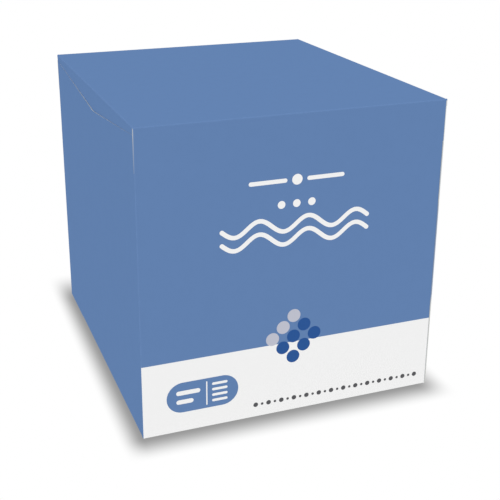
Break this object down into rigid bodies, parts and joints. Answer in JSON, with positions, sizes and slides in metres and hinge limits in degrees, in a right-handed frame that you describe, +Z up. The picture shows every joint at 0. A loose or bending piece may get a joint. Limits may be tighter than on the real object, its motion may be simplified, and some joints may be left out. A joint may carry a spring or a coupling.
{
  "type": "tissue box",
  "caption": "Closed, full carton of facial tissues: folded and glued board with V-cut side walls over tucked top flaps, a glued front corner seam and a flat base.",
  "frame": {"origin": "centre of the base, on the surface that the box stands on", "axes": "+Z up, -Y out of the printed front, +X to the right of someone facing the front"},
  "size_m": [0.1124, 0.1274, 0.112],
  "materials": {
    "printed_board": "clay-coated folding board, offset printed in matt mid blue with a white band along the foot of the front"
  },
  "bodies": {
    "root": {"tissue_box": "printed_board"}
  },
  "joints": []
}
